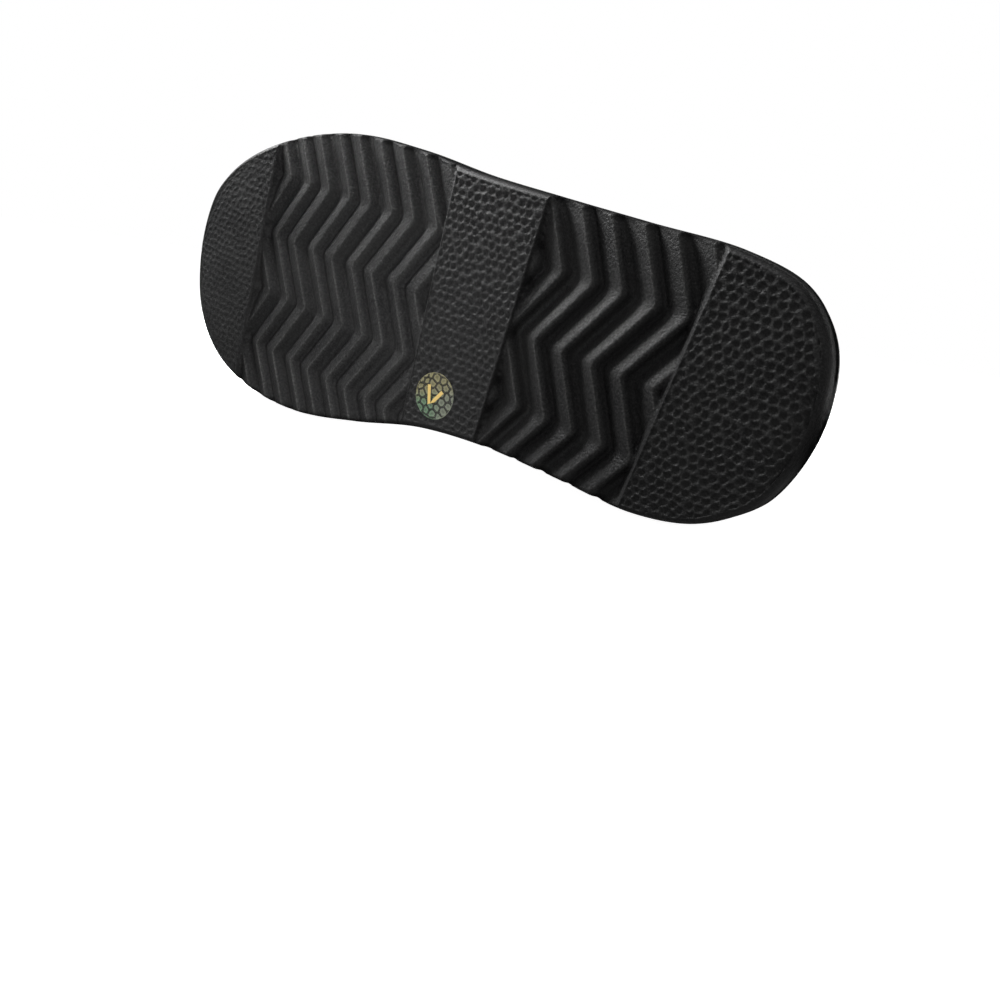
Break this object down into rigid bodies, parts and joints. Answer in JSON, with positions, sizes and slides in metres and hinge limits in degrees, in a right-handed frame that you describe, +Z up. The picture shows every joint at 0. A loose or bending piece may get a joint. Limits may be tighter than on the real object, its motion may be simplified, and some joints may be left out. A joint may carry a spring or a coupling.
{
  "type": "snow boot",
  "caption": "Short pull-on snow boot for the left foot, lying on its medial side, with a moulded cup sole of dimpled pads and zigzag ribs",
  "frame": {"origin": "on the floor under the middle of the lying boot's bounding box", "axes": "+X from toe to heel along the floor, -Y the way the tread faces, +Y towards the collar, +Z up through the lateral side"},
  "size_m": [0.2686, 0.1782, 0.1089],
  "materials": {
    "sole": "matte moulded foam rubber with dimpled pads",
    "upper": "black napped suede with a short pile inside",
    "insole": "dark pile fabric on a thin foam board"
  },
  "bodies": {
    "root": {"outsole": "sole", "upper": "upper", "insole": "insole"}
  },
  "joints": []
}
